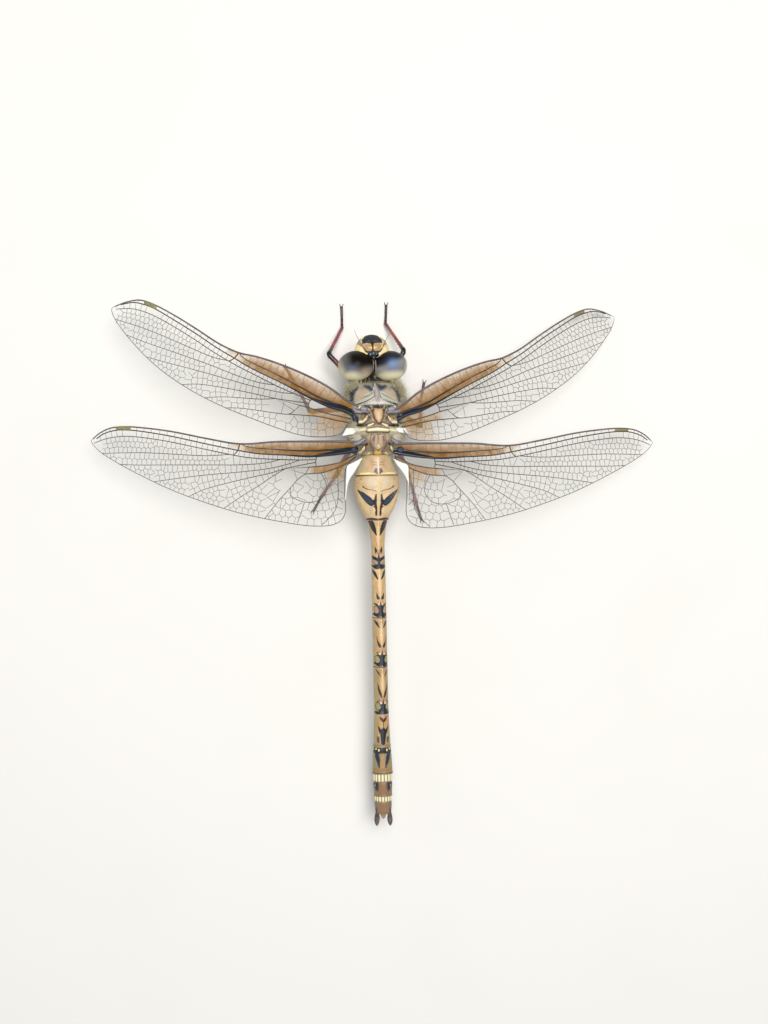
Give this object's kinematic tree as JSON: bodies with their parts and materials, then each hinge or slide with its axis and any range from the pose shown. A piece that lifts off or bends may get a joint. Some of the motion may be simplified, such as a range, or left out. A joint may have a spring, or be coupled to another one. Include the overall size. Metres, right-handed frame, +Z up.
{
  "type": "hawker dragonfly",
  "caption": "Still, life-size dragonfly at rest on its feet with spread clear wings, large joined eyes and a long patterned tail, as a display model.",
  "frame": {"origin": "middle of the footprint, on the floor the feet stand on", "axes": "+X towards the dragonfly's right, +Y the way it faces, +Z up off its back"},
  "size_m": [0.0824, 0.0774, 0.0148],
  "materials": {
    "eye": "glossy faceted insect eye, dark brown in front, grey-lavender in the middle and straw yellow behind",
    "face": "smooth satin chitin, golden with a dark crescent",
    "dark_chitin": "blackish satin chitin",
    "thorax": "matt downy chitin, grey-beige with slate bands",
    "wing": "clear glassy membrane between dark veins, amber near the base",
    "leg": "satin dark red chitin",
    "abdomen": "satin chitin, golden tan with black and navy marks",
    "tail": "satin grey-brown chitin"
  },
  "bodies": {
    "root": {"abdomen_1": "abdomen", "abdomen_10": "abdomen", "abdomen_2": "abdomen", "abdomen_3": "abdomen", "abdomen_4": "abdomen", "abdomen_5": "abdomen", "abdomen_6": "abdomen", "abdomen_7": "abdomen", "abdomen_8": "abdomen", "abdomen_9": "abdomen", "antenna_left": "dark_chitin", "antenna_right": "dark_chitin", "cercus_left": "tail", "cercus_right": "tail", "clypeus": "face", "coxa_fore_left": "leg", "coxa_fore_right": "leg", "coxa_hind_left": "leg", "coxa_hind_right": "leg", "coxa_mid_left": "leg", "coxa_mid_right": "leg", "epiproct": "tail", "eye_left": "eye", "eye_right": "eye", "femur_fore_left": "leg", "femur_fore_right": "leg", "femur_hind_left": "leg", "femur_hind_right": "leg", "femur_mid_left": "leg", "femur_mid_right": "leg", "forewing_left": "wing", "forewing_right": "wing", "frons": "face", "head": "face", "hindwing_left": "wing", "hindwing_right": "wing", "labium": "face", "labrum": "dark_chitin", "prothorax": "thorax", "tarsus_fore_left": "dark_chitin", "tarsus_fore_right": "dark_chitin", "tarsus_hind_left": "dark_chitin", "tarsus_hind_right": "dark_chitin", "tarsus_mid_left": "dark_chitin", "tarsus_mid_right": "dark_chitin", "thorax": "thorax", "tibia_fore_left": "leg", "tibia_fore_right": "leg", "tibia_hind_left": "leg", "tibia_hind_right": "leg", "tibia_mid_left": "leg", "tibia_mid_right": "leg"}
  },
  "joints": []
}
